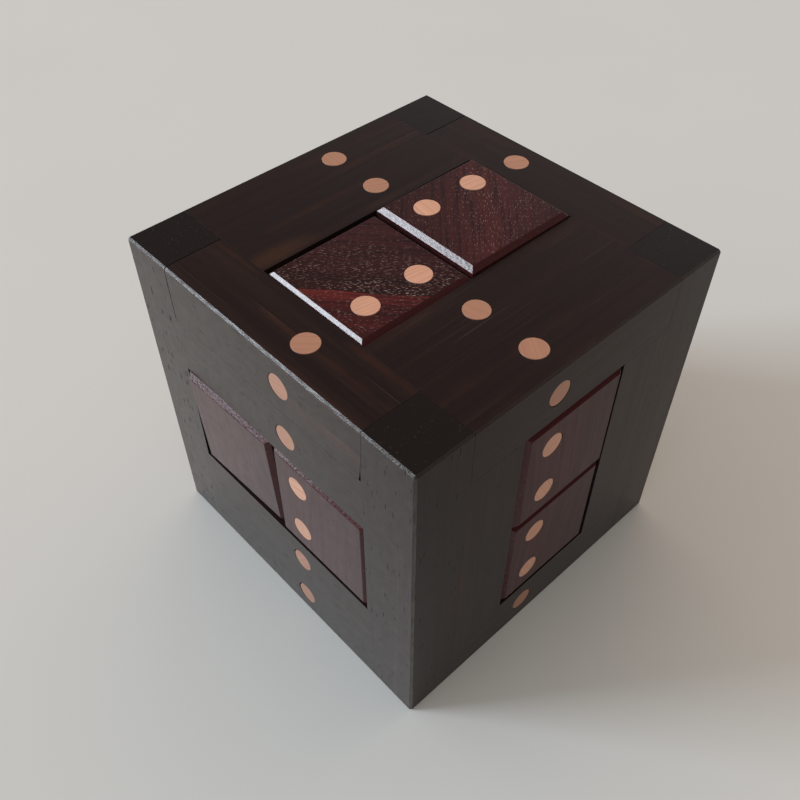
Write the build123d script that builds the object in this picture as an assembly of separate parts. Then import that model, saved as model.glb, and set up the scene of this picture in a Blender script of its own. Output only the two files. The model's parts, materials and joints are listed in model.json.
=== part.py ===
"""A dark wooden puzzle box in the shape of a die, with a lid hinged on two hidden pins.

Twelve square bars and posts make the twelve edges of a cube. Each face between them is closed
by two strips beside a window and by a liner panel behind it, and two bevelled tiles slide in and
out of each window. Round pips of pale wood are let into the frame and the tiles.
The origin is the middle of the base, +Z is up and -Y is the front. All sizes are in millimetres.
"""

import os
from math import hypot

from build123d import *

# The cube and its walls
cube_edge = 88.9
rail_width = 14.2
window_width = 30.7
strip_thickness = 6.5
panel_thickness = 2.5
edge_bevel = 0.5

# The tiles: a cap in the window, with a tongue behind the strips on both long sides
tile_clearance = 0.5
tile_bevel = 1.15
tile_softening = 0.3
tile_lift = 1.6
tongue_thickness = 1.5
tongue_reach = 2.5

# The pips are short dowels, set flush. On the four sides they stand in a column off the middle,
# and on the lid and base they lie off both middle lines
pip_diameter = 6.0
pip_depth = 3.2
pip_column = 6.6
top_pip = 7.1
glue_gap = 0.02

# The lid and its hinge: the axis lies as far below the top as it is in from the back
hinge_inset = 2.0
pin_diameter = 1.6
pin_in_lid = 5.0
pin_in_post = 4.0
pin_end_gap = 0.3
running_clearance = 0.05
lid_gap = 0.08
lid_seam = 0.05
front_notch = 0.45

# The disc magnets that keep the lid shut
magnet_diameter = 5.0
magnet_thickness = 2.0

# Where each tile lies when the box stands closed. Lift is a share of tile_lift, drawn out of
# the face when positive. Slides are in mm along and across the window, turns in degrees.
LEVEL = {"lift": 0.0, "slide": (0.0, 0.0), "turn": (0.0, 0.0, 0.0)}
TILE_RESTS = {
    "lid_tile_left": {"lift": 0.20, "slide": (-0.1, -0.1), "turn": (0.0, 0.0, 0.0)},
    "lid_tile_right": {"lift": 0.92, "slide": (-0.1, -0.2), "turn": (0.0, 0.0, -0.7)},
    "left_tile_back": {"lift": 0.16, "slide": (0.15, -0.1), "turn": (1.9, 1.1, 0.5)},
    "left_tile_front": {"lift": 0.05, "slide": (0.2, 0.0), "turn": (0.0, 0.0, 0.0)},
    "front_tile_upper": {"lift": 0.25, "slide": (0.0, -0.2), "turn": (0.0, 0.0, 0.0)},
    "front_tile_lower": {"lift": 0.04, "slide": (0.0, -0.1), "turn": (0.0, 0.0, 0.0)},
    "base_tile_left": {"lift": -0.2, "slide": (0.0, 0.0), "turn": (0.0, 0.0, 0.0)},
    "base_tile_right": {"lift": -0.2, "slide": (0.0, 0.0), "turn": (0.0, 0.0, 0.0)},
}

# What follows from them
half = cube_edge / 2
window_half = half - rail_width
strip_width = window_half - window_width / 2
frame_top = cube_edge - rail_width
rail_pip = half - rail_width / 2
pip_pitch = rail_pip / 2.5
strip_pip = 1.5 * pip_pitch
near_pip = 0.5 * pip_pitch
tile_length = window_half - tile_clearance
tile_width = window_width - 2 * tile_clearance

lid_half = window_half - lid_gap
hinge_y = half - hinge_inset
hinge_z = cube_edge - hinge_inset
post_reach = hinge_y - window_half
rear_gap = hypot(post_reach, hinge_inset) - post_reach + lid_seam
bar_drop = hinge_z - frame_top
back_seam = hypot(bar_drop, hinge_inset) - bar_drop + lid_seam
sweep_radius = hinge_y + window_half + front_notch

# Each face as a plane: x along its window, y across it, z out of the box
FACES = {
    "lid": Plane((0, 0, cube_edge), x_dir=(1, 0, 0), z_dir=(0, 0, 1)),
    "base": Plane((0, 0, 0), x_dir=(1, 0, 0), z_dir=(0, 0, -1)),
    "left": Plane((-half, 0, half), x_dir=(0, -1, 0), z_dir=(-1, 0, 0)),
    "right": Plane((half, 0, half), x_dir=(0, 1, 0), z_dir=(1, 0, 0)),
    "front": Plane((0, -half, half), x_dir=(0, 0, 1), z_dir=(0, -1, 0)),
    "back": Plane((0, half, half), x_dir=(0, 0, 1), z_dir=(0, 1, 0)),
}

# Names of the two strips and two tiles of each face, from low to high across and along
SIDES = {
    "lid": (("front", "back"), ("left", "right")),
    "base": (("back", "front"), ("left", "right")),
    "left": (("lower", "upper"), ("back", "front")),
    "right": (("lower", "upper"), ("front", "back")),
    "front": (("right", "left"), ("lower", "upper")),
    "back": (("left", "right"), ("lower", "upper")),
}

# The pips in the bars and strips of each face, along and across from its middle
COLUMN = (-rail_pip, -strip_pip, strip_pip, rail_pip)
ARM = ((rail_pip, top_pip), (top_pip, strip_pip), (top_pip, rail_pip))
FRAME_PIPS = {
    "lid": [(side * along, side * across) for side in (-1, 1) for along, across in ARM],
    "base": [(side * along, -side * across) for side in (-1, 1) for along, across in ARM],
    "left": [(pip_column, across) for across in COLUMN],
    "right": [(pip_column, across) for across in COLUMN],
    "front": [(along, pip_column) for along in (-rail_pip, rail_pip)],
    "back": [(along, pip_column) for along in (-rail_pip, rail_pip)],
}


def block(x_span, y_span, z_span):
    """A rectangular block between two places on each axis."""
    size = [max(span) - min(span) for span in (x_span, y_span, z_span)]
    middle = [sum(span) / 2 for span in (x_span, y_span, z_span)]
    return Pos(*middle) * Box(*size)


def rod(diameter, start, end):
    """A round rod between two points on a line along X, Y or Z."""
    axis = Vector(*end) - Vector(*start)
    plane = Plane(origin=start, z_dir=axis)
    return plane * Cylinder(diameter / 2, axis.length, align=(Align.CENTER, Align.CENTER, Align.MIN))


bevelled_cube = chamfer(
    (Pos(0, 0, half) * Box(cube_edge, cube_edge, cube_edge)).edges(), edge_bevel
)
lid_sweep = rod(2 * sweep_radius, (-cube_edge, hinge_y, hinge_z), (cube_edge, hinge_y, hinge_z))
post_sweep = rod(
    2 * (sweep_radius + lid_gap), (-cube_edge, hinge_y, hinge_z), (cube_edge, hinge_y, hinge_z)
)


def corner_posts():
    """Four full-height posts: the front pair is let in for the lid's ends, the rear pair is bored."""
    posts = {}
    bore = pin_diameter + 2 * running_clearance
    for side, word in ((-1, "left"), (1, "right")):
        x_span = (side * window_half, side * half)
        front = block(x_span, (-half, -window_half), (0, cube_edge)) & bevelled_cube
        rear = block(x_span, (window_half, half), (0, cube_edge)) & bevelled_cube
        bore_end = side * (window_half + pin_in_post + pin_end_gap)
        posts[f"post_front_{word}"] = front - post_sweep
        posts[f"post_back_{word}"] = rear - rod(bore, (0, hinge_y, hinge_z), (bore_end, hinge_y, hinge_z))
    return posts


def base_bars():
    """Four square bars between the posts, along the bottom edges."""
    bars = {}
    for side, word in ((-1, "left"), (1, "right")):
        bars[f"base_bar_{word}"] = block(
            (side * window_half, side * half), (-window_half, window_half), (0, rail_width)
        )
    for side, word in ((-1, "front"), (1, "back")):
        bars[f"base_bar_{word}"] = block(
            (-window_half, window_half), (side * window_half, side * half), (0, rail_width)
        )
    return {name: bar & bevelled_cube for name, bar in bars.items()}


def face_strips(face, end):
    """The two strips beside a window, end being half their length."""
    strips = {}
    for side, word in zip((-1, 1), SIDES[face][0]):
        strip = block((-end, end), (side * window_width / 2, side * window_half), (-strip_thickness, 0))
        strips[f"{face}_strip_{word}"] = FACES[face] * strip
    return strips


def liner_panel(face, end):
    """The thin panel that closes the box behind a window's tiles."""
    panel = block((-end, end), (-window_half, window_half), (-rail_width, panel_thickness - rail_width))
    return {f"{face}_liner": FACES[face] * panel}


def lid_bars():
    """Four square bars along the top edges, eased where they swing past the posts."""
    bars = {}
    seat = frame_top + lid_seam
    for side, word in ((-1, "left"), (1, "right")):
        bar = block((side * lid_half, side * half), (-half, window_half - rear_gap), (seat, cube_edge))
        bars[f"lid_bar_{word}"] = bar & lid_sweep
    bars["lid_bar_front"] = block((-lid_half, lid_half), (-half, -window_half), (seat, cube_edge))
    back = block((-lid_half, lid_half), (window_half, half), (frame_top + back_seam, cube_edge))
    for side in (-1, 1):
        hole_end = side * (lid_half - pin_in_lid)
        back -= rod(
            pin_diameter + 2 * glue_gap, (side * cube_edge, hinge_y, hinge_z), (hole_end, hinge_y, hinge_z)
        )
    bars["lid_bar_back"] = back
    return {name: bar & bevelled_cube for name, bar in bars.items()}


def hinge_pins():
    """Two short rods, glued into the lid's back bar and free to turn in the rear posts."""
    pins = []
    for side in (-1, 1):
        start = (side * (lid_half - pin_in_lid), hinge_y, hinge_z)
        end = (side * (window_half + pin_in_post), hinge_y, hinge_z)
        pins.append(rod(pin_diameter, start, end))
    return Compound(pins)


def magnets(diameter, seat, direction):
    """A pair of discs on the seat's level, from there up or down into the wood."""
    discs = []
    magnet_x = (window_width + strip_width) / 2
    magnet_y = strip_thickness / 2 - half
    for side in (-1, 1):
        start = (side * magnet_x, magnet_y, seat)
        end = (side * magnet_x, magnet_y, seat + direction * magnet_thickness)
        discs.append(rod(diameter, start, end))
    return Compound(discs)


def tile_blank():
    """One tile lying flush: its bevelled cap in the window and its tongue behind the strips."""
    cap_depth = strip_thickness + tile_lift
    cap = block(
        (-tile_length / 2, tile_length / 2), (-tile_width / 2, tile_width / 2), (-cap_depth, 0)
    )
    cap = chamfer(cap.faces().sort_by(Axis.Z)[-1].edges(), tile_bevel)
    above_tongue = cap.edges().filter_by_position(Axis.Z, -cap_depth, 0, (False, True))
    cap = fillet(above_tongue, tile_softening)
    tongue_half = tile_width / 2 + tongue_reach
    tongue = block(
        (-tile_length / 2, tile_length / 2),
        (-tongue_half, tongue_half),
        (-cap_depth - tongue_thickness, -cap_depth),
    )
    return cap + tongue


def tile_pips(face, side):
    """Where a tile carries pips, along and across from its own middle."""
    if face in ("lid", "base"):
        across = top_pip * (side if face == "lid" else -side)
        return [(-top_pip, across), (top_pip, across)]
    if face in ("front", "back"):
        return [(-near_pip, pip_column), (near_pip, pip_column)]
    return [(-pip_column, -near_pip), (-pip_column, near_pip)] if side > 0 else []


def face_tiles(face, end):
    """The two tiles of a face where they rest, with the pips that each one carries."""
    tiles = {}
    for side, word in zip((-1, 1), SIDES[face][1]):
        name = f"{face}_tile_{word}"
        rest = TILE_RESTS.get(name, LEVEL)
        along, across = rest["slide"]
        place = FACES[face] * Pos(side * end / 2 + along, across, rest["lift"] * tile_lift)
        place = place * Rot(*rest["turn"])
        spots = [Pos(x, y, 0) for x, y in tile_pips(face, side)]
        tile = tile_blank()
        for spot in spots:
            tile -= spot * pip_hole()
        tiles[name] = place * tile
        if spots:
            tiles[f"{name}_pips"] = Compound([place * spot * pip() for spot in spots])
    return tiles


def pip():
    """One dowel, its outer end level with the face it is set in."""
    return Cylinder(pip_diameter / 2, pip_depth, align=(Align.CENTER, Align.CENTER, Align.MAX))


def pip_hole():
    """What a dowel's hole takes away, as deep as the dowel and open above the face."""
    return Cylinder(pip_diameter / 2 + glue_gap, 2 * pip_depth)


def set_pips(pieces):
    """Bore the pieces of a frame for the pips over them, and return the pips themselves."""
    pips = []
    for face, plane in FACES.items():
        for along, across in FRAME_PIPS[face]:
            place = plane * Pos(along, across, 0)
            under = (place * Pos(0, 0, -pip_depth / 2)).position
            for name, piece in pieces.items():
                box = piece.bounding_box()
                inside = all(
                    low < value < high for low, value, high in zip(box.min, under, box.max)
                )
                if inside:
                    pieces[name] = piece - place * pip_hole()
                    pips.append(place * pip())
    return Compound(pips)


frame = {**corner_posts(), **base_bars()}
for face in ("base", "left", "right", "front", "back"):
    frame |= face_strips(face, window_half) | liner_panel(face, window_half)
frame_pips = set_pips(frame)
for word in ("left", "right"):
    name = f"front_strip_{word}"
    frame[name] -= magnets(magnet_diameter + 2 * glue_gap, frame_top, -1)
frame["frame_pips"] = frame_pips
frame["frame_magnets"] = magnets(magnet_diameter, frame_top, -1)

lid = {**lid_bars(), **face_strips("lid", lid_half), **liner_panel("lid", lid_half)}
lid_pips = set_pips(lid)
lid["lid_bar_front"] -= magnets(magnet_diameter + 2 * glue_gap, frame_top + lid_seam, 1)
lid["lid_pips"] = lid_pips
lid["lid_magnets"] = magnets(magnet_diameter, frame_top + lid_seam, 1)
lid["hinge_pins"] = hinge_pins()

tiles = face_tiles("lid", lid_half)
for face in ("base", "left", "right", "front", "back"):
    tiles |= face_tiles(face, window_half)

os.makedirs("parts", exist_ok=True)
for node, shape in {**frame, **lid, **tiles}.items():
    export_step(shape, f"parts/{node}.step")
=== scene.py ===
import json
from math import pi, radians

import bmesh
import bpy
from mathutils import Matrix, Vector


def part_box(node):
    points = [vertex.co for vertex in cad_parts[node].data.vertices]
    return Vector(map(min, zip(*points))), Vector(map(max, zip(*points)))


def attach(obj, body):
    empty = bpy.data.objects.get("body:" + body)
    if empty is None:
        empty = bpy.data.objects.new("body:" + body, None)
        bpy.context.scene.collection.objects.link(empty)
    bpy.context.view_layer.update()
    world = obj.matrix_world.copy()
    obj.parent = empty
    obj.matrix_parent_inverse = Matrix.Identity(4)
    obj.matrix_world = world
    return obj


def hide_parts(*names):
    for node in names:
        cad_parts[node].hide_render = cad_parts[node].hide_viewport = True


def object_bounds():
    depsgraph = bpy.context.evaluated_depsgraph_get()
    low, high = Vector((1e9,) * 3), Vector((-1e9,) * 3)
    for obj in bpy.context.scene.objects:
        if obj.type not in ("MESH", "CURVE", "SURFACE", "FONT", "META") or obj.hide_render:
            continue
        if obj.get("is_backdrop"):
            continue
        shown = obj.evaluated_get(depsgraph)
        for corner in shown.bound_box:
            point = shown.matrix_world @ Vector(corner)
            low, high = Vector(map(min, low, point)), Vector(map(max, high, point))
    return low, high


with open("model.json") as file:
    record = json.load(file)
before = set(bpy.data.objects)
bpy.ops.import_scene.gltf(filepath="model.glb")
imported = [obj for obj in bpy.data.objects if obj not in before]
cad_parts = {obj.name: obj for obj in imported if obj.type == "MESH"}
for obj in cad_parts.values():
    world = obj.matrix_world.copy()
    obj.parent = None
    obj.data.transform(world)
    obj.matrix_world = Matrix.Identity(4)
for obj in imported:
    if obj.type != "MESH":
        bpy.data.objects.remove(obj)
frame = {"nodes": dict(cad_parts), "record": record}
nodes = frame["nodes"]
cad_low, cad_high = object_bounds()
scene = bpy.context.scene
scene.view_settings.view_transform = "Standard"

# ---- The viewpoint ---------------------------------------------------------------------------
# A phone held above the front left corner, close enough for the cube's uprights to lean inwards.
# Its height and distance come with a lens of about 40 mm on a 36 mm frame.
EYE = Vector((-0.10806, -0.10890, 0.20527))
AIM = Vector((-0.00611, 0.00034, 0.04445))
LENS, FILM_WIDTH = 40.47, 36.0
NEAREST = 0.005

camera = bpy.data.objects.new("phone", bpy.data.cameras.new("phone"))
camera.data.sensor_width = FILM_WIDTH
camera.data.lens = LENS
camera.data.clip_start = NEAREST
camera.location = EYE
camera.rotation_euler = (AIM - EYE).to_track_quat("-Z", "Y").to_euler()
scene.collection.objects.link(camera)
scene.camera = camera

# ---- The table -------------------------------------------------------------------------------
# A smooth off-white laminate top, wiped but not polished, wide enough to reach past every view.
# Wiping leaves faint marks about 110 mm across, and the laminate has a fine grit of 0.8 mm.
TABLE_HALF, TABLE_TOP = 3.0, -0.00002
TABLE_WHITE, TABLE_WORN = "#cecfce", "#c9cac9"
MARKS_PER_METRE, GRIT_PER_METRE = 9.0, 1200.0
GRIT_DEPTH = 0.00005


def linear(code):
    """A hex sRGB colour as the linear one that the shaders take."""
    channels = [int(code[i:i + 2], 16) / 255 for i in (1, 3, 5)]
    return (*[c / 12.92 if c < 0.04045 else ((c + 0.055) / 1.055) ** 2.4 for c in channels], 1.0)


def add(tree, kind, inputs=None, **settings):
    """Adds one node with its settings, and sets its inputs to values or links them to sockets."""
    node = tree.nodes.new(kind)
    for key, value in settings.items():
        setattr(node, key, value)
    for key, value in (inputs or {}).items():
        if isinstance(value, bpy.types.NodeSocket):
            tree.links.new(value, node.inputs[key])
        else:
            node.inputs[key].default_value = value
    return node


def finish(name, **values):
    """A new material with its node tree and its one shader, set to plain values."""
    material = bpy.data.materials.new(name)
    material.use_nodes = True
    tree = material.node_tree
    shader = tree.nodes["Principled BSDF"]
    for key, value in values.items():
        shader.inputs[key.replace("_", " ")].default_value = value
    return material, tree, shader


corners = [(-1, -1), (1, -1), (1, 1), (-1, 1)]
table_mesh = bpy.data.meshes.new("table_top")
table_mesh.from_pydata(
    [(x * TABLE_HALF, y * TABLE_HALF, TABLE_TOP) for x, y in corners], [], [(0, 1, 2, 3)])
table_top = bpy.data.objects.new("table_top", table_mesh)
scene.collection.objects.link(table_top)
laminate, tree, shader = finish("white_laminate", Roughness=0.9)
place = add(tree, "ShaderNodeTexCoord")
marks = add(tree, "ShaderNodeTexNoise", {
    "Vector": place.outputs["Object"], "Scale": MARKS_PER_METRE, "Detail": 4.0})
wiped = add(tree, "ShaderNodeMixRGB", {
    "Fac": marks.outputs["Fac"], "Color1": linear(TABLE_WHITE), "Color2": linear(TABLE_WORN)})
grit = add(tree, "ShaderNodeTexNoise", {
    "Vector": place.outputs["Object"], "Scale": GRIT_PER_METRE, "Detail": 2.0})
texture = add(tree, "ShaderNodeBump", {
    "Height": grit.outputs["Fac"], "Distance": GRIT_DEPTH, "Strength": 0.1})
tree.links.new(wiped.outputs[0], shader.inputs["Base Color"])
tree.links.new(texture.outputs[0], shader.inputs["Normal"])
table_mesh.materials.append(laminate)
table_top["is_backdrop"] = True

# ---- The light -------------------------------------------------------------------------------
# A tall cool window far off at the back left, bright enough to flash on the bevels that face it.
# The room gives the rest: soft light from overhead, warm from the right, dim from the near side.
# Past the table it is all pale, but the wood mirrors a duller ceiling and a dark near side.
WINDOW_TOWARD = Vector((-0.654, 0.630, 0.45)).normalized()
WINDOW_DISTANCE = 10.0
WINDOW_WIDTH, WINDOW_HEIGHT = 3.0, 3.6
WINDOW_POWER = 720.0
WINDOW_TINT = "#e6f0fb"
DIM_WALLS, DIM_LEVEL = "#ffd8c0", 0.14
LIT_WALLS, LIT_LEVEL = "#f8f9f4", 0.92
LIT_TOWARD, LIT_REACH = Vector((-0.40, 0.30, 0.87)).normalized(), (0.0, 1.0)
WARM_WALLS, WARM_LEVEL = "#ffdfc6", 1.1
WARM_TOWARD, WARM_REACH = Vector((0.80, 0.49, 0.25)).normalized(), (0.3, 0.95)
BACKDROP, CEILING, NEAR_ROOM = "#dedddb", "#68645f", "#3a3632"
CEILING_TOWARD, CEILING_REACH = Vector((-0.55, 0.35, 0.76)).normalized(), (-0.15, 0.45)
NEAR_TOWARD, NEAR_REACH = Vector((-0.30, -0.95, 0.0)).normalized(), (-0.2, 0.5)


def turned_to(tree, way, reach):
    """0 to 1 over the room's directions, as their cosine to a way passes through its reach."""
    direction = add(tree, "ShaderNodeTexCoord")
    cosine = add(tree, "ShaderNodeVectorMath", {
        0: direction.outputs["Generated"], 1: way}, operation="DOT_PRODUCT")
    return add(tree, "ShaderNodeMapRange", {
        "Value": cosine.outputs["Value"], "From Min": reach[0], "From Max": reach[1]},
        interpolation_type="SMOOTHSTEP").outputs[0]


window = bpy.data.objects.new("window", bpy.data.lights.new("window", "AREA"))
window.data.shape = "RECTANGLE"
window.data.size, window.data.size_y = WINDOW_WIDTH, WINDOW_HEIGHT
window.data.energy = WINDOW_POWER
window.data.color = linear(WINDOW_TINT)[:3]
window.location = WINDOW_TOWARD * WINDOW_DISTANCE
window.rotation_euler = WINDOW_TOWARD.to_track_quat("Z", "Y").to_euler()
scene.collection.objects.link(window)

room = bpy.data.worlds.new("room")
room.use_nodes = True
scene.world = room
tree = room.node_tree
walls = [DIM_LEVEL * channel for channel in linear(DIM_WALLS)]
for toward, reach, tint, level in (
        (LIT_TOWARD, LIT_REACH, LIT_WALLS, LIT_LEVEL),
        (WARM_TOWARD, WARM_REACH, WARM_WALLS, WARM_LEVEL)):
    walls = add(tree, "ShaderNodeMixRGB", {
        "Fac": turned_to(tree, toward, reach), "Color1": walls,
        "Color2": [level * channel for channel in linear(tint)]}).outputs[0]
mirrored = linear(BACKDROP)
for toward, reach, tint in (
        (CEILING_TOWARD, CEILING_REACH, CEILING), (NEAR_TOWARD, NEAR_REACH, NEAR_ROOM)):
    mirrored = add(tree, "ShaderNodeMixRGB", {
        "Fac": turned_to(tree, toward, reach), "Color1": mirrored,
        "Color2": linear(tint)}).outputs[0]
ray = add(tree, "ShaderNodeLightPath")
beyond = add(tree, "ShaderNodeMixRGB", {
    "Fac": ray.outputs["Is Glossy Ray"], "Color1": linear(BACKDROP), "Color2": mirrored})
direct = add(tree, "ShaderNodeMath", {
    0: ray.outputs["Is Camera Ray"], 1: ray.outputs["Is Glossy Ray"]}, operation="MAXIMUM")
seen = add(tree, "ShaderNodeMath", {
    0: direct.outputs[0], 1: ray.outputs["Is Transmission Ray"]}, operation="MAXIMUM")
lighting = add(tree, "ShaderNodeBackground", {"Color": walls})
backdrop = add(tree, "ShaderNodeBackground", {"Color": beyond.outputs[0]})
either = add(tree, "ShaderNodeMixShader", {
    0: seen.outputs[0], 1: lighting.outputs[0], 2: backdrop.outputs[0]})
tree.links.new(either.outputs[0], tree.nodes["World Output"].inputs["Surface"])

# ---- The posts -------------------------------------------------------------------------------
# Four square posts of ebony, full height, sawn along the grain, sanded and wiped with oil.
# Their end grain shows at the corners of the top, where sanding dust sits in the pores as dots.
# The box is held by its left and right sides, and there all its wood has a rubbed-in wax.
X, Y, Z = Vector((1, 0, 0)), Vector((0, 1, 0)), Vector((0, 0, 1))
MM = 1000
EBONY_DARK, EBONY_BROWN, EBONY_RED = "#201414", "#34221c", "#5c3220"
EBONY_END, EBONY_PORE, EBONY_WORN = "#1c1514", "#070505", "#38302c"
EBONY_FLAME = "#3c2519"
DUST = "#7c736a"
OILED = (0.34, 0.42)
EASING = 0.00004
EBONY_PORE_DEPTH, EBONY_FIBRE_HEIGHT, EBONY_DENT_DEPTH = 0.00008, 0.00006, 0.0002
HAND_WAX = 0.52
SMEARS_PER_METRE = 420.0


def board(tree, grain, face, cut):
    """Places in the board in mm: x along its grain, y across it and z out of its face.

    On them a noise's scale is one over the width in mm of what it draws.
    """
    across = face.cross(grain)
    turn = Matrix((grain, across, face)).to_euler()
    place = add(tree, "ShaderNodeTexCoord")
    return add(tree, "ShaderNodeMapping", {
        "Vector": place.outputs["Object"], "Scale": (MM, MM, MM),
        "Rotation": turn, "Location": cut}).outputs[0]


def drawn_out(tree, place, length):
    """The same places squeezed along the grain, so that what is drawn on them comes out longer."""
    return add(tree, "ShaderNodeMapping", {
        "Vector": place, "Scale": (1 / length, 1, 1)}).outputs[0]


def pores(tree, place, spacing, length, radius, share, flat=False):
    """The wood's open vessels: up to 1 in a pore and 0 elsewhere.

    Their spacing and radius across the grain are in mm, and along it both are length times that.
    A share of the places has one. Flat ones lie in one face only, where they can be closer.
    """
    cells = add(tree, "ShaderNodeTexVoronoi", {
        "Vector": drawn_out(tree, place, length), "Scale": 1 / spacing, "Randomness": 1.0},
        voronoi_dimensions="2D" if flat else "3D")
    inside = add(tree, "ShaderNodeMapRange", {
        "Value": cells.outputs["Distance"], "From Min": radius / spacing,
        "From Max": 0.4 * radius / spacing, "To Min": 0.0, "To Max": 1.0})
    lot = add(tree, "ShaderNodeSeparateColor", {"Color": cells.outputs["Color"]})
    kept = add(tree, "ShaderNodeMath", {0: lot.outputs[0], 1: share}, operation="LESS_THAN")
    depth = add(tree, "ShaderNodeMapRange", {
        "Value": lot.outputs[1], "To Min": 0.25, "To Max": 1.0})
    open_ones = add(tree, "ShaderNodeMath", {
        0: inside.outputs[0], 1: kept.outputs[0]}, operation="MULTIPLY")
    return add(tree, "ShaderNodeMath", {
        0: open_ones.outputs[0], 1: depth.outputs[0]}, operation="MULTIPLY").outputs[0]


def looking(tree, way):
    """1 on the surfaces that look along a direction, either way, and 0 elsewhere."""
    facing = add(tree, "ShaderNodeTexCoord")
    cosine = add(tree, "ShaderNodeVectorMath", {
        0: facing.outputs["Normal"], 1: way}, operation="DOT_PRODUCT")
    size = add(tree, "ShaderNodeMath", {0: cosine.outputs["Value"]}, operation="ABSOLUTE")
    return add(tree, "ShaderNodeMapRange", {
        "Value": size.outputs[0], "From Min": 0.80, "From Max": 0.95}).outputs[0]


def bevelled(tree):
    """1 on the bevels, whose faces lie between two of the box's own directions, and 0 elsewhere."""
    facing = add(tree, "ShaderNodeTexCoord")
    square = add(tree, "ShaderNodeVectorMath", {
        0: facing.outputs["Normal"], 1: facing.outputs["Normal"]}, operation="MULTIPLY")
    parts = add(tree, "ShaderNodeSeparateXYZ", {"Vector": square.outputs[0]})
    wider = add(tree, "ShaderNodeMath", {
        0: parts.outputs[0], 1: parts.outputs[1]}, operation="MAXIMUM")
    widest = add(tree, "ShaderNodeMath", {
        0: wider.outputs[0], 1: parts.outputs[2]}, operation="MAXIMUM")
    return add(tree, "ShaderNodeMapRange", {
        "Value": widest.outputs[0], "From Min": 0.65, "From Max": 0.90,
        "To Min": 1.0, "To Max": 0.0}).outputs[0]


def handled(tree):
    """How much wax shows: smears about 2 mm wide on the sides that the box is held by."""
    there = add(tree, "ShaderNodeTexCoord")
    smears = add(tree, "ShaderNodeTexNoise", {
        "Vector": there.outputs["Object"], "Scale": SMEARS_PER_METRE, "Detail": 5.0,
        "Roughness": 0.6})
    amount = add(tree, "ShaderNodeMapRange", {
        "Value": smears.outputs["Fac"], "From Min": 0.3, "From Max": 0.7,
        "To Min": 0.8 * HAND_WAX, "To Max": 1.2 * HAND_WAX})
    return add(tree, "ShaderNodeMath", {
        0: looking(tree, X), 1: amount.outputs[0]}, operation="MULTIPLY").outputs[0]


def ebony_figure(tree, place, streaks, figure, red):
    """Nearly black wood with brown streaks, in layers 4 to 5 mm apart that redden in patches."""
    brown_share = add(tree, "ShaderNodeMapRange", {
        "Value": streaks, "From Min": 0.40, "From Max": 0.72, "To Max": figure})
    brown = add(tree, "ShaderNodeMixRGB", {
        "Fac": brown_share.outputs[0], "Color1": linear(EBONY_DARK), "Color2": linear(EBONY_BROWN)})
    layers = add(tree, "ShaderNodeTexWave", {
        "Vector": drawn_out(tree, place, 14), "Scale": 0.07, "Distortion": 7.0, "Detail": 3.0,
        "Detail Scale": 0.6}, wave_type="RINGS", rings_direction="X")
    patches = add(tree, "ShaderNodeTexNoise", {"Vector": place, "Scale": 0.05, "Detail": 3.0})
    band = add(tree, "ShaderNodeMath", {
        0: layers.outputs["Fac"], 1: patches.outputs["Fac"]}, operation="MULTIPLY")
    red_share = add(tree, "ShaderNodeMapRange", {
        "Value": band.outputs[0], "From Min": 0.40, "From Max": 0.68, "To Max": red})
    return add(tree, "ShaderNodeMixRGB", {
        "Fac": red_share.outputs[0], "Color1": brown.outputs[0],
        "Color2": linear(EBONY_RED)}).outputs[0]


def flamed(tree, wood, middle, reach):
    """The same wood with a soft brown patch in its figure, by its middle and half sizes in mm."""
    there = add(tree, "ShaderNodeTexCoord")
    spread = add(tree, "ShaderNodeMapping", {
        "Vector": there.outputs["Object"], "Scale": [MM / size for size in reach],
        "Location": [-at / size for at, size in zip(middle, reach)]})
    from_middle = add(tree, "ShaderNodeVectorMath", {0: spread.outputs[0]}, operation="LENGTH")
    glow = add(tree, "ShaderNodeMapRange", {
        "Value": from_middle.outputs["Value"], "From Min": 1.0, "From Max": 0.2,
        "To Min": 0.0, "To Max": 0.8}, interpolation_type="SMOOTHSTEP")
    return add(tree, "ShaderNodeMixRGB", {
        "Fac": glow.outputs[0], "Color1": wood, "Color2": linear(EBONY_FLAME)}).outputs[0]


def ebony_relief(tree, streaks, pore, dents, worn):
    """Sunk pores, raised fibres and dented bevels, with the boards' sharp edges eased."""
    eased = add(tree, "ShaderNodeBevel", {"Radius": EASING}, samples=4)
    sunk = add(tree, "ShaderNodeBump", {
        "Height": pore, "Distance": EBONY_PORE_DEPTH, "Strength": 0.6,
        "Normal": eased.outputs[0]}, invert=True)
    fibre = add(tree, "ShaderNodeBump", {
        "Height": streaks, "Distance": EBONY_FIBRE_HEIGHT, "Strength": 0.35,
        "Normal": sunk.outputs[0]})
    dented = add(tree, "ShaderNodeMath", {0: dents, 1: worn}, operation="MULTIPLY")
    return add(tree, "ShaderNodeBump", {
        "Height": dented.outputs[0], "Distance": EBONY_DENT_DEPTH, "Strength": 0.5,
        "Normal": fibre.outputs[0]}).outputs[0]


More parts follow.
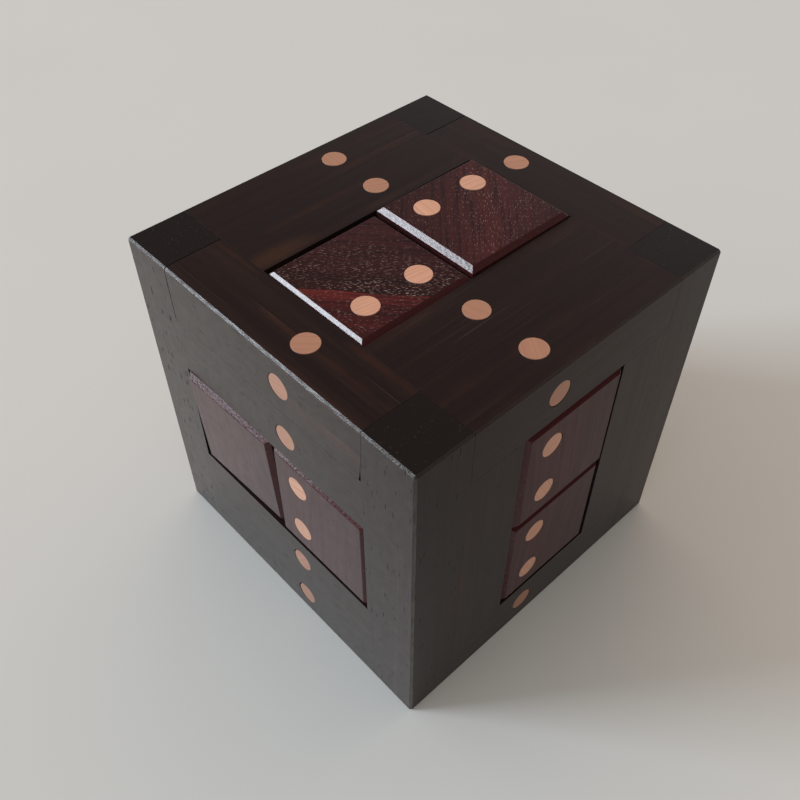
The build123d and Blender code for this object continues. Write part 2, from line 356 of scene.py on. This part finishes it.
def ebony(name, grain, face, cut, figure=0.3, red=0.12, flame=None, coarse=False):
    """Oiled ebony: satin and nearly black, brown and red along the grain, with fine open pores.

    Its streaks are 2 mm wide and 90 long, and its pale lines 0.4 mm wide. Coarse ebony has wider
    pores too, drawn at twice their real width so that they show as dark slits.
    """
    material, tree, shader = finish(
        name, IOR=1.24, Coat_Roughness=0.25, Coat_IOR=1.5, Sheen_Weight=0.1, Sheen_Roughness=0.35)
    place = board(tree, grain, face, cut)
    ends = looking(tree, grain)
    worn = bevelled(tree)
    streaks = add(tree, "ShaderNodeTexNoise", {
        "Vector": drawn_out(tree, place, 40), "Scale": 0.45, "Detail": 7.0,
        "Roughness": 0.62}).outputs["Fac"]
    lines = add(tree, "ShaderNodeTexNoise", {
        "Vector": drawn_out(tree, place, 90), "Scale": 2.6, "Detail": 2.0})
    dents = add(tree, "ShaderNodeTexNoise", {
        "Vector": drawn_out(tree, place, 6), "Scale": 2.2, "Detail": 4.0,
        "Roughness": 0.7}).outputs["Fac"]
    pore = pores(tree, place, 0.55, 9, 0.10, 0.4)
    if coarse:
        slits = pores(tree, place, 1.1, 6, 0.2, 0.7)
        pore = add(tree, "ShaderNodeMath", {0: pore, 1: slits}, operation="MAXIMUM").outputs[0]

    wood = ebony_figure(tree, place, streaks, figure, red)
    if flame:
        wood = flamed(tree, wood, *flame)
    line_share = add(tree, "ShaderNodeMapRange", {
        "Value": lines.outputs["Fac"], "From Min": 0.66, "From Max": 0.76, "To Max": 0.10})
    lined = add(tree, "ShaderNodeMixRGB", {
        "Fac": line_share.outputs[0], "Color1": wood, "Color2": linear(DUST)})
    cut_end = add(tree, "ShaderNodeMixRGB", {
        "Fac": ends, "Color1": lined.outputs[0], "Color2": linear(EBONY_END)})
    rubbed = add(tree, "ShaderNodeMixRGB", {
        "Fac": worn, "Color1": cut_end.outputs[0], "Color2": linear(EBONY_WORN)})
    filling = add(tree, "ShaderNodeMixRGB", {
        "Fac": ends, "Color1": linear(EBONY_PORE), "Color2": linear(EBONY_WORN)})
    pored = add(tree, "ShaderNodeMixRGB", {
        "Fac": pore, "Color1": rubbed.outputs[0], "Color2": filling.outputs[0]})
    specks = pores(tree, place, 5.0, 1.5, 0.12, 0.3)
    dusty = add(tree, "ShaderNodeMixRGB", {
        "Fac": specks, "Color1": pored.outputs[0], "Color2": linear(DUST)})

    dull = add(tree, "ShaderNodeMapRange", {
        "Value": streaks, "From Min": 0.3, "From Max": 0.7,
        "To Min": OILED[0], "To Max": OILED[1]})
    scuffed = add(tree, "ShaderNodeMath", {
        0: worn, 1: -0.06, 2: dull.outputs[0]}, operation="MULTIPLY_ADD")
    rough = add(tree, "ShaderNodeMath", {
        0: pore, 1: 0.4, 2: scuffed.outputs[0]}, operation="MULTIPLY_ADD")
    rubs = add(tree, "ShaderNodeMapRange", {
        "Value": dents, "From Min": 0.35, "From Max": 0.65, "To Min": 0.05, "To Max": 0.75})
    shiny = add(tree, "ShaderNodeMath", {0: rubs.outputs[0], 1: worn}, operation="MULTIPLY")
    polished = add(tree, "ShaderNodeMath", {
        0: shiny.outputs[0], 1: handled(tree)}, operation="MAXIMUM")
    waxed = add(tree, "ShaderNodeMath", {
        0: polished.outputs[0], 1: pore}, operation="SUBTRACT", use_clamp=True)
    relief = ebony_relief(tree, streaks, pore, dents, worn)
    tree.links.new(dusty.outputs[0], shader.inputs["Base Color"])
    tree.links.new(rough.outputs[0], shader.inputs["Roughness"])
    tree.links.new(waxed.outputs[0], shader.inputs["Coat Weight"])
    tree.links.new(relief, shader.inputs["Normal"])
    tree.links.new(relief, shader.inputs["Coat Normal"])
    return material


def dress(node, material):
    """Gives a piece of the construction its finish."""
    mesh = nodes[node].data
    mesh.materials.clear()
    mesh.materials.append(material)


BOARDS_FIRST, BOARDS_APART = (0.0, 23.0, 31.0), (137.0, 19.0, 17.0)
BOARDS_ACROSS, BOARDS_DEEP = 7, 5


def saw_cut(number):
    """Where in the log a numbered board was sawn from, in mm, so that no two look alike."""
    steps = (number, number % BOARDS_ACROSS, number % BOARDS_DEEP)
    return [at + apart * step for at, apart, step in zip(BOARDS_FIRST, BOARDS_APART, steps)]


for number, corner in enumerate(("front_left", "front_right", "back_left", "back_right")):
    dress(f"post_{corner}", ebony(f"ebony_post_{corner}", Z, -Y, saw_cut(number), coarse=True))

# ---- The bars --------------------------------------------------------------------------------
# Eight square bars of the same ebony butt between the posts: four round the lid, four round the
# base, each with its grain along its length. The lid's left one has the liveliest figure.
LID_BOARD, BASE_BOARD = 10, 20
for number, (word, face, grain) in enumerate((
        ("front", -Y, X), ("back", Y, X), ("left", -X, Y), ("right", X, Y))):
    figure, red = (0.6, 0.3) if word == "left" else (0.3, 0.12)
    dress(f"lid_bar_{word}", ebony(
        f"ebony_lid_{word}", grain, Z, saw_cut(LID_BOARD + number), figure, red))
    dress(f"base_bar_{word}", ebony(
        f"ebony_base_{word}", grain, face, saw_cut(BASE_BOARD + number)))

# ---- The strips ------------------------------------------------------------------------------
# Two thinner ebony strips beside each window, with their grain along it. The lid's back strip
# has a brown flame beside the window.
STRIP_BOARD = 30
FLAMES = {"lid_strip_back": ((-25.0, 18.0, 88.9), (13.0, 3.6, 8.0))}
STRIPS = {
    "lid": (Z, X, ("front", "back")),
    "base": (-Z, X, ("front", "back")),
    "left": (-X, Y, ("lower", "upper")),
    "right": (X, Y, ("lower", "upper")),
    "front": (-Y, Z, ("left", "right")),
    "back": (Y, Z, ("left", "right")),
}
for number, (side, (face, grain, words)) in enumerate(STRIPS.items()):
    for place, word in enumerate(words):
        piece = f"{side}_strip_{word}"
        cut = saw_cut(STRIP_BOARD + 2 * number + place)
        dress(piece, ebony(f"ebony_{piece}", grain, face, cut, flame=FLAMES.get(piece)))

# ---- The tiles -------------------------------------------------------------------------------
# Twelve square tiles of rosewood with bevelled edges, each cut from the board at its own angle.
# Sanding dust fills the pores and shows as pale flecks; the bevels were left as they were planed.
# A tile's figure lists places across its grain in mm, each with its colour and share of flecks.
ROSEWOOD_STREAK, ROSEWOOD_BEVEL, FILLED_PORE = "#1c0b10", "#462022", "#c0a8a0"
SOFTENING = 0.00006
CHATTER_DEPTH, ROSEWOOD_FIBRE_HEIGHT = 0.0001, 0.00005
FIGURE_REACH, SWAY = 22.0, 5.0
PLAIN_FIGURE = (
    (-20, "#381a1e", 0.1), (-6, "#402026", 0.1), (7, "#462026", 0.1), (20, "#361a1e", 0.1))
MIXED_FIGURE = (
    (-20, "#40191d", 0.4), (-8, "#4c1d1e", 0.3), (2, "#301416", 0.5), (14, "#481c20", 0.3))
FIGURES = {
    "lid_tile_left": (
        (-20, "#361617", 0.5), (-15, "#481819", 0.6), (-12.5, "#3a1516", 0.7),
        (-9, "#4e1819", 0.6), (-6.2, "#64211f", 0.5), (-5.8, "#2c1212", 0.9),
        (0, "#331516", 0.9), (10, "#3b191c", 0.5), (20, "#3f1b1f", 0.3)),
    "lid_tile_right": (
        (-18, "#38191d", 0.5), (-9, "#421a1e", 0.6), (-3, "#481d1d", 0.7),
        (3, "#401a1b", 0.5), (9, "#3a181a", 0.4), (20, "#36171a", 0.4)),
    "base_tile_left": MIXED_FIGURE,
    "base_tile_right": MIXED_FIGURE,
}
LIVELY, QUIET = (0.75, (0.45, 0.8)), (0.4, (0.0, 0.25))
TILES = {
    "lid": (Z, X, ("left", "right"), (-47, 46), LIVELY),
    "base": (-Z, X, ("left", "right"), (15, -30), LIVELY),
    "left": (-X, Z, ("back", "front"), (5, -4), QUIET),
    "right": (X, Z, ("front", "back"), (20, 80), QUIET),
    "front": (-Y, Z, ("upper", "lower"), (4, -6), QUIET),
    "back": (Y, Z, ("upper", "lower"), (35, 5), QUIET),
}
TILE_BOARD, SIDE_APART, TILE_APART = 300, 60, 150


def rosewood_bands(tree, place, figure):
    """The figure's colours in soft bands that sway along the grain, with the flecks as alpha."""
    across = add(tree, "ShaderNodeSeparateXYZ", {"Vector": place})
    drift = add(tree, "ShaderNodeTexNoise", {
        "Vector": drawn_out(tree, place, 4), "Scale": 0.11, "Detail": 2.0})
    swayed = add(tree, "ShaderNodeMath", {
        0: drift.outputs["Fac"], 1: SWAY, 2: across.outputs["Y"]}, operation="MULTIPLY_ADD")
    along_ramp = add(tree, "ShaderNodeMapRange", {
        "Value": swayed.outputs[0], "From Min": SWAY / 2 - FIGURE_REACH,
        "From Max": SWAY / 2 + FIGURE_REACH})
    bands = add(tree, "ShaderNodeValToRGB", {"Fac": along_ramp.outputs[0]})
    stops = bands.color_ramp.elements
    stops.remove(stops[1])
    for at, tint, flecked in figure:
        stop = stops.new(0.5 + 0.5 * at / FIGURE_REACH)
        stop.color = (*linear(tint)[:3], flecked)
    stops.remove(stops[0])
    return bands


def rosewood_flecks(tree, place, face, flecked):
    """The pores of a tile's face, filled with pale dust, thicker in clumps some 3 mm wide.

    They are drawn at twice their real width, so that they show.
    """
    large = pores(tree, place, 0.52, 5.0, 0.095, flecked, flat=True)
    small = pores(tree, place, 0.47, 3.0, 0.09, flecked, flat=True)
    fleck = add(tree, "ShaderNodeMath", {0: large, 1: small}, operation="MAXIMUM")
    filled = add(tree, "ShaderNodeMath", {
        0: fleck.outputs[0], 1: looking(tree, face)}, operation="MULTIPLY")
    clumps = add(tree, "ShaderNodeTexNoise", {
        "Vector": drawn_out(tree, place, 1.6), "Scale": 0.3, "Detail": 2.0})
    clumped = add(tree, "ShaderNodeMapRange", {
        "Value": clumps.outputs["Fac"], "From Min": 0.35, "From Max": 0.65,
        "To Min": 0.15, "To Max": 0.65})
    dusted = add(tree, "ShaderNodeMath", {
        0: clumped.outputs[0], 1: flecked}, operation="MULTIPLY")
    return add(tree, "ShaderNodeMath", {
        0: filled.outputs[0], 1: dusted.outputs[0]}, operation="MULTIPLY").outputs[0]


def rosewood(name, grain, face, cut, figure, streaked, polish):
    """Satin rosewood: plum and red bands across the grain, dark streaks and pale filled pores.

    Its streaks are 1 mm wide and 20 long. The bevels show the planer's chatter, 0.7 mm wide, and
    their polish runs from its first value to its second.
    """
    material, tree, shader = finish(
        name, IOR=1.24, Coat_Roughness=0.2, Coat_IOR=1.5, Sheen_Weight=0.1, Sheen_Roughness=0.35)
    place = board(tree, grain, face, cut)
    worn = bevelled(tree)
    streaks = add(tree, "ShaderNodeTexNoise", {
        "Vector": drawn_out(tree, place, 22), "Scale": 1.1, "Detail": 5.0,
        "Roughness": 0.65}).outputs["Fac"]
    chatter = add(tree, "ShaderNodeTexNoise", {
        "Vector": place, "Scale": 1.5, "Detail": 4.0}).outputs["Fac"]

    bands = rosewood_bands(tree, place, figure)
    dark_share = add(tree, "ShaderNodeMapRange", {
        "Value": streaks, "From Min": 0.46, "From Max": 0.64, "To Max": streaked})
    striped = add(tree, "ShaderNodeMixRGB", {
        "Fac": dark_share.outputs[0], "Color1": bands.outputs["Color"],
        "Color2": linear(ROSEWOOD_STREAK)})
    planed = add(tree, "ShaderNodeMixRGB", {
        "Fac": worn, "Color1": striped.outputs[0], "Color2": linear(ROSEWOOD_BEVEL)})
    flecks = rosewood_flecks(tree, place, face, bands.outputs["Alpha"])
    dusty = add(tree, "ShaderNodeMixRGB", {
        "Fac": flecks, "Color1": planed.outputs[0], "Color2": linear(FILLED_PORE)})

    satin = add(tree, "ShaderNodeMapRange", {
        "Value": streaks, "From Min": 0.3, "From Max": 0.7,
        "To Min": OILED[0], "To Max": OILED[1]})
    torn = add(tree, "ShaderNodeMapRange", {
        "Value": chatter, "From Min": 0.4, "From Max": 0.65, "To Min": 0.16, "To Max": 0.28})
    rough = add(tree, "ShaderNodeMixRGB", {
        "Fac": worn, "Color1": satin.outputs[0], "Color2": torn.outputs[0]})
    gloss = add(tree, "ShaderNodeMapRange", {
        "Value": chatter, "From Min": 0.4, "From Max": 0.65,
        "To Min": polish[0], "To Max": polish[1]})
    shiny = add(tree, "ShaderNodeMath", {0: gloss.outputs[0], 1: worn}, operation="MULTIPLY")
    waxed = add(tree, "ShaderNodeMath", {
        0: shiny.outputs[0], 1: handled(tree)}, operation="MAXIMUM")

    eased = add(tree, "ShaderNodeBevel", {"Radius": SOFTENING}, samples=4)
    height = add(tree, "ShaderNodeMath", {0: chatter, 1: worn}, operation="MULTIPLY")
    rippled = add(tree, "ShaderNodeBump", {
        "Height": height.outputs[0], "Distance": CHATTER_DEPTH, "Strength": 0.3,
        "Normal": eased.outputs[0]})
    fibre = add(tree, "ShaderNodeBump", {
        "Height": streaks, "Distance": ROSEWOOD_FIBRE_HEIGHT, "Strength": 0.3,
        "Normal": rippled.outputs[0]})
    tree.links.new(dusty.outputs[0], shader.inputs["Base Color"])
    tree.links.new(rough.outputs[0], shader.inputs["Roughness"])
    tree.links.new(waxed.outputs[0], shader.inputs["Coat Weight"])
    tree.links.new(fibre.outputs[0], shader.inputs["Normal"])
    tree.links.new(rippled.outputs[0], shader.inputs["Coat Normal"])
    return material


for number, (side, (face, along, words, turns, life)) in enumerate(TILES.items()):
    for place, (word, turn) in enumerate(zip(words, turns)):
        name = f"{side}_tile_{word}"
        grain = Matrix.Rotation(radians(turn), 3, face) @ along
        low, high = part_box(name)
        middle = MM * (low + high) / 2
        from_middle = Vector([-middle.dot(way) for way in (grain, face.cross(grain), face)])
        log_place = TILE_BOARD + SIDE_APART * number + TILE_APART * place
        cut = from_middle + Vector((log_place, 0, 0))
        dress(name, rosewood(
            f"rosewood_{name}", grain, face, cut, FIGURES.get(name, PLAIN_FIGURE), *life))

# ---- The liner -------------------------------------------------------------------------------
# Six thin panels of maple close the box behind the tiles, left plain inside.
# The wood is pale and nearly even, with fine darker lines 2 mm wide and 50 long.
MAPLE_PALE, MAPLE_DARK = "#cb9a84", "#b07c62"
MAPLE_FIBRE_HEIGHT = 0.00005
LINER_BOARD = 70


def maple(name, grain, face, cut):
    """Oiled maple: pale, with fine darker lines along the grain and a dull sheen."""
    material, tree, shader = finish(name, IOR=1.5)
    place = board(tree, grain, face, cut)
    streaks = add(tree, "ShaderNodeTexNoise", {
        "Vector": drawn_out(tree, place, 25), "Scale": 0.5, "Detail": 6.0,
        "Roughness": 0.6}).outputs["Fac"]
    share = add(tree, "ShaderNodeMapRange", {
        "Value": streaks, "From Min": 0.35, "From Max": 0.7})
    colour = add(tree, "ShaderNodeMixRGB", {
        "Fac": share.outputs[0], "Color1": linear(MAPLE_PALE), "Color2": linear(MAPLE_DARK)})
    dull = add(tree, "ShaderNodeMapRange", {
        "Value": streaks, "From Min": 0.3, "From Max": 0.7, "To Min": 0.40, "To Max": 0.52})
    fibre = add(tree, "ShaderNodeBump", {
        "Height": streaks, "Distance": MAPLE_FIBRE_HEIGHT, "Strength": 0.4})
    tree.links.new(colour.outputs[0], shader.inputs["Base Color"])
    tree.links.new(dull.outputs[0], shader.inputs["Roughness"])
    tree.links.new(fibre.outputs[0], shader.inputs["Normal"])
    return material


for number, (side, (face, grain, _)) in enumerate(STRIPS.items()):
    cut = saw_cut(LINER_BOARD + number)
    dress(f"{side}_liner", maple(f"maple_{side}_liner", grain, face, cut))

# ---- The pips --------------------------------------------------------------------------------
# Short maple dowels glued into blind holes and sanded level, with the rim just eased.
# They went in as they came, so each one's grain points its own way and its tone is its own.
# Those of the frame and lid have been oiled with the ebony, and are browner than the tiles'.
PIP_PALE, PIP_BROWN, PIP_LINE, PIP_RIM = "#e0a98e", "#a6755e", "#94604a", "#7d5546"
TILE_LOTS, FRAME_LOTS = (0.0, 0.4), (0.70, 1.0)
PIP_DIAMETER, PIP_LENGTH, PIP_EASING = 0.006, 0.0032, 0.00008
PIP_FACETS = 48
PIP_FIBRE_HEIGHT = 0.00004
GLUE_WIDTH, GLUE_SOFT = 0.16, 0.01
RODS_APART = 400
TOUCHING, LEVEL = 1e-6, 0.999


def ends(node):
    """Where the dowels of a CAD node show: the middle of each outer end and the way it faces."""
    shell = bmesh.new()
    shell.from_mesh(nodes[node].data)
    bmesh.ops.remove_doubles(shell, verts=shell.verts, dist=TOUCHING)
    middle = (cad_low + cad_high) / 2
    found = []
    seen = set()
    for first in shell.faces:
        if first in seen:
            continue
        reached = [first]
        seen.add(first)
        for face in reached:
            for near in (other for edge in face.edges for other in edge.link_faces):
                if near not in seen:
                    seen.add(near)
                    reached.append(near)
        outer = max(reached, key=lambda face: (
            round(face.normal.dot(face.calc_center_median() - middle), 4), face.calc_area()))
        rim = [v.co for face in reached for v in face.verts
               if face.normal.dot(outer.normal) > LEVEL]
        found.append((sum(rim, Vector()) / len(rim), outer.normal.copy()))
    shell.free()
    return found


def dowel(tree, given):
    """One dowel of the given sizes, its outer end at the origin, its rim eased all round."""
    radius = add(tree, "ShaderNodeMath", {0: given["Diameter"], 1: 0.5}, operation="MULTIPLY")
    bore = add(tree, "ShaderNodeMath", {
        0: given["Length"], 1: given["Easing"]}, operation="SUBTRACT")
    narrower = add(tree, "ShaderNodeMath", {
        0: radius.outputs[0], 1: given["Easing"]}, operation="SUBTRACT")
    share = add(tree, "ShaderNodeMath", {
        0: narrower.outputs[0], 1: radius.outputs[0]}, operation="DIVIDE")
    disc = add(tree, "GeometryNodeMeshCircle", {
        "Vertices": given["Facets"], "Radius": radius.outputs[0]}, fill_type="NGON")
    inner_end = add(tree, "GeometryNodeFlipFaces", {"Mesh": disc.outputs[0]})
    side = add(tree, "GeometryNodeExtrudeMesh", {
        "Mesh": disc.outputs[0], "Offset": Z, "Offset Scale": bore.outputs[0],
        "Individual": False})
    rim = add(tree, "GeometryNodeExtrudeMesh", {
        "Mesh": side.outputs["Mesh"], "Selection": side.outputs["Top"], "Offset": Z,
        "Offset Scale": given["Easing"], "Individual": False})
    eased = add(tree, "GeometryNodeScaleElements", {
        "Geometry": rim.outputs["Mesh"], "Selection": rim.outputs["Top"],
        "Scale": share.outputs[0]})
    closed = add(tree, "GeometryNodeJoinGeometry", {0: eased.outputs[0]})
    tree.links.new(inner_end.outputs[0], closed.inputs[0])
    joined = add(tree, "GeometryNodeMergeByDistance", {
        "Geometry": closed.outputs[0], "Distance": TOUCHING})
    sunk = add(tree, "ShaderNodeCombineXYZ", {"Z": add(tree, "ShaderNodeMath", {
        0: given["Length"], 1: -1.0}, operation="MULTIPLY").outputs[0]})
    return add(tree, "GeometryNodeTransform", {
        "Geometry": joined.outputs[0], "Translation": sunk.outputs[0]}).outputs[0]


def dowel_tree(name):
    """A node tree that stands one dowel on every point, each turned its own way about its axis.

    Each keeps its places from before it was moved, and the lot that its tone is drawn from.
    """
    tree = bpy.data.node_groups.new(name, "GeometryNodeTree")
    sockets = {
        "Ends": "NodeSocketGeometry", "Diameter": "NodeSocketFloat", "Length": "NodeSocketFloat",
        "Easing": "NodeSocketFloat", "Facets": "NodeSocketInt", "Seed": "NodeSocketInt",
        "Palest": "NodeSocketFloat", "Brownest": "NodeSocketFloat",
        "Wood": "NodeSocketMaterial"}
    for label, kind in sockets.items():
        tree.interface.new_socket(label, in_out="INPUT", socket_type=kind)
    tree.interface.new_socket("Dowels", in_out="OUTPUT", socket_type="NodeSocketGeometry")
    given = add(tree, "NodeGroupInput").outputs
    own_place = add(tree, "GeometryNodeInputPosition")
    kept = add(tree, "GeometryNodeStoreNamedAttribute", {
        "Geometry": dowel(tree, given), "Name": "dowel", "Value": own_place.outputs[0]},
        data_type="FLOAT_VECTOR")
    outward = add(tree, "GeometryNodeInputNamedAttribute", {"Name": "outward"},
        data_type="FLOAT_VECTOR")
    upright = add(tree, "FunctionNodeAlignRotationToVector", {
        "Vector": outward.outputs["Attribute"]}, axis="Z")
    spin = add(tree, "FunctionNodeRandomValue", {
        "Min": (0, 0, 0), "Max": (0, 0, 2 * pi), "Seed": given["Seed"]}, data_type="FLOAT_VECTOR")
    turned = add(tree, "FunctionNodeRotateRotation", {
        "Rotation": upright.outputs[0], "Rotate By": spin.outputs["Value"]},
        rotation_space="LOCAL")
    placed = add(tree, "GeometryNodeInstanceOnPoints", {
        "Points": given["Ends"], "Instance": kept.outputs[0], "Rotation": turned.outputs[0]})
    # A random value's plain-number limits are its inputs 2 and 3, and its number is output 1.
    lot = add(tree, "FunctionNodeRandomValue", {
        2: given["Palest"], 3: given["Brownest"], "Seed": given["Seed"]}, data_type="FLOAT")
    marked = add(tree, "GeometryNodeStoreNamedAttribute", {
        "Geometry": placed.outputs[0], "Name": "lot", "Value": lot.outputs[1]},
        data_type="FLOAT", domain="INSTANCE")
    real = add(tree, "GeometryNodeRealizeInstances", {"Geometry": marked.outputs[0]})
    wooden = add(tree, "GeometryNodeSetMaterial", {
        "Geometry": real.outputs[0], "Material": given["Wood"]})
    add(tree, "NodeGroupOutput", {"Dowels": wooden.outputs[0]})
    return tree


# The dowels' maple shows fine fibres 0.6 mm wide, one or two growth rings and a line of glue.
pip_wood, tree, shader = finish("maple_dowel", IOR=1.5, Coat_Roughness=0.25, Coat_IOR=1.5)
own_place = add(tree, "ShaderNodeAttribute", attribute_name="dowel")
lot = add(tree, "ShaderNodeAttribute", attribute_name="lot")
apart = add(tree, "ShaderNodeCombineXYZ", {"Z": lot.outputs["Fac"]})
in_rod = add(tree, "ShaderNodeMapping", {
    "Vector": own_place.outputs["Vector"], "Scale": (MM, MM, MM)})
in_board = add(tree, "ShaderNodeVectorMath", {
    0: apart.outputs[0], 1: RODS_APART * Z, 2: in_rod.outputs[0]}, operation="MULTIPLY_ADD")
tone = add(tree, "ShaderNodeMixRGB", {
    "Fac": lot.outputs["Fac"], "Color1": linear(PIP_PALE), "Color2": linear(PIP_BROWN)})
fibre = add(tree, "ShaderNodeTexNoise", {
    "Vector": drawn_out(tree, in_board.outputs[0], 18), "Scale": 1.6, "Detail": 4.0})
fibre_share = add(tree, "ShaderNodeMapRange", {
    "Value": fibre.outputs["Fac"], "From Min": 0.4, "From Max": 0.75, "To Max": 0.30})
streaked = add(tree, "ShaderNodeMixRGB", {
    "Fac": fibre_share.outputs[0], "Color1": tone.outputs[0], "Color2": linear(PIP_LINE)})
rings = add(tree, "ShaderNodeTexWave", {
    "Vector": in_board.outputs[0], "Scale": 0.16, "Distortion": 1.6, "Detail": 2.0,
    "Detail Scale": 0.5}, bands_direction="Y", wave_profile="SAW")
ring_share = add(tree, "ShaderNodeMapRange", {
    "Value": rings.outputs["Fac"], "From Min": 0.90, "From Max": 1.0, "To Max": 0.55})
ringed = add(tree, "ShaderNodeMixRGB", {
    "Fac": ring_share.outputs[0], "Color1": streaked.outputs[0], "Color2": linear(PIP_LINE)})
flat = add(tree, "ShaderNodeVectorMath", {
    0: in_rod.outputs[0], 1: (1, 1, 0)}, operation="MULTIPLY")
from_axis = add(tree, "ShaderNodeVectorMath", {0: flat.outputs[0]}, operation="LENGTH")
pip_radius = MM * PIP_DIAMETER / 2
rim_share = add(tree, "ShaderNodeMapRange", {
    "Value": from_axis.outputs["Value"], "From Min": pip_radius - GLUE_WIDTH,
    "From Max": pip_radius - GLUE_SOFT, "To Max": 0.7})
glued = add(tree, "ShaderNodeMixRGB", {
    "Fac": rim_share.outputs[0], "Color1": ringed.outputs[0], "Color2": linear(PIP_RIM)})
sanded = add(tree, "ShaderNodeMapRange", {
    "Value": fibre.outputs["Fac"], "From Min": 0.3, "From Max": 0.7,
    "To Min": 0.38, "To Max": 0.48})
raised = add(tree, "ShaderNodeBump", {
    "Height": fibre.outputs["Fac"], "Distance": PIP_FIBRE_HEIGHT, "Strength": 0.3})
tree.links.new(glued.outputs[0], shader.inputs["Base Color"])
tree.links.new(sanded.outputs[0], shader.inputs["Roughness"])
tree.links.new(raised.outputs[0], shader.inputs["Normal"])
tree.links.new(handled(tree), shader.inputs["Coat Weight"])

stand_dowels = dowel_tree("stand_dowels")
for body, pieces in frame["record"]["behaviour"]["bodies"].items():
    for node in [piece for piece in pieces if piece.endswith("pips")]:
        places = ends(node)
        points = bpy.data.meshes.new(f"{node}_ends")
        points.from_pydata([place for place, _ in places], [], [])
        outward = points.attributes.new("outward", "FLOAT_VECTOR", "POINT")
        for item, (_, normal) in zip(outward.data, places):
            item.vector = normal
        dowels = bpy.data.objects.new(f"{node}_dowels", points)
        scene.collection.objects.link(dowels)
        growth = dowels.modifiers.new("stand_dowels", "NODES")
        growth.node_group = stand_dowels
        palest, brownest = TILE_LOTS if "_tile_" in node else FRAME_LOTS
        wanted = {
            "Diameter": PIP_DIAMETER, "Length": PIP_LENGTH, "Easing": PIP_EASING,
            "Facets": PIP_FACETS, "Seed": len(node) + 7 * len(body), "Palest": palest,
            "Brownest": brownest, "Wood": pip_wood}
        for socket in stand_dowels.interface.items_tree:
            if socket.name in wanted:
                growth[socket.identifier] = wanted[socket.name]
        graph = bpy.context.evaluated_depsgraph_get()
        solid = bpy.data.meshes.new_from_object(
            dowels.evaluated_get(graph), preserve_all_data_layers=True, depsgraph=graph)
        dowels.modifiers.clear()
        dowels.data = solid
        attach(dowels, body)
        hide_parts(node)

# ---- The hinge pins --------------------------------------------------------------------------
# Two pins of drawn brass rod, driven into the lid's back bar, that turn in the rear posts.
# Drawing leaves fine lines 0.1 mm wide along them, and they have gone brown in patches of 1.5 mm.
BRASS_BRIGHT, BRASS_BROWN = "#cfa65a", "#8f6a34"
DRAWN_DEPTH = 0.00001
brass, tree, shader = finish("drawn_brass", Metallic=1.0)
place = board(tree, X, Z, (0, 0, 0))
drawing = add(tree, "ShaderNodeTexNoise", {
    "Vector": drawn_out(tree, place, 60), "Scale": 9.0, "Detail": 3.0})
tarnish = add(tree, "ShaderNodeTexNoise", {"Vector": place, "Scale": 0.7, "Detail": 4.0})
browned = add(tree, "ShaderNodeMapRange", {
    "Value": tarnish.outputs["Fac"], "From Min": 0.45, "From Max": 0.75, "To Max": 0.7})
brass_colour = add(tree, "ShaderNodeMixRGB", {
    "Fac": browned.outputs[0], "Color1": linear(BRASS_BRIGHT), "Color2": linear(BRASS_BROWN)})
brass_rough = add(tree, "ShaderNodeMapRange", {
    "Value": drawing.outputs["Fac"], "To Min": 0.2, "To Max": 0.42})
lines = add(tree, "ShaderNodeBump", {
    "Height": drawing.outputs["Fac"], "Distance": DRAWN_DEPTH, "Strength": 0.5})
tree.links.new(brass_colour.outputs[0], shader.inputs["Base Color"])
tree.links.new(brass_rough.outputs[0], shader.inputs["Roughness"])
tree.links.new(lines.outputs[0], shader.inputs["Normal"])
dress("hinge_pins", brass)

# ---- The magnets -----------------------------------------------------------------------------
# Four disc magnets plated with nickel, pressed into the frame and the lid so that they meet.
# The plating is bright, with a faint satin grain of 0.1 mm and dull rubbed places 1 mm wide.
NICKEL_BRIGHT, NICKEL_DULL = "#c4c1ba", "#9a968e"
SATIN_DEPTH = 0.00001
nickel, tree, shader = finish("nickel_plate", Metallic=1.0)
place = board(tree, X, Z, (0, 0, 0))
rubbing = add(tree, "ShaderNodeTexNoise", {"Vector": place, "Scale": 0.9, "Detail": 5.0})
rubbed = add(tree, "ShaderNodeMapRange", {
    "Value": rubbing.outputs["Fac"], "From Min": 0.45, "From Max": 0.7})
nickel_colour = add(tree, "ShaderNodeMixRGB", {
    "Fac": rubbed.outputs[0], "Color1": linear(NICKEL_BRIGHT), "Color2": linear(NICKEL_DULL)})
nickel_rough = add(tree, "ShaderNodeMapRange", {
    "Value": rubbing.outputs["Fac"], "From Min": 0.3, "From Max": 0.7,
    "To Min": 0.14, "To Max": 0.34})
satin = add(tree, "ShaderNodeTexNoise", {"Vector": place, "Scale": 12.0, "Detail": 2.0})
grained = add(tree, "ShaderNodeBump", {
    "Height": satin.outputs["Fac"], "Distance": SATIN_DEPTH, "Strength": 0.3})
tree.links.new(nickel_colour.outputs[0], shader.inputs["Base Color"])
tree.links.new(nickel_rough.outputs[0], shader.inputs["Roughness"])
tree.links.new(grained.outputs[0], shader.inputs["Normal"])
dress("frame_magnets", nickel)
dress("lid_magnets", nickel)

# ---- The sizes -------------------------------------------------------------------------------
# The box as built and as dressed, for the size rule.
low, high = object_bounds()
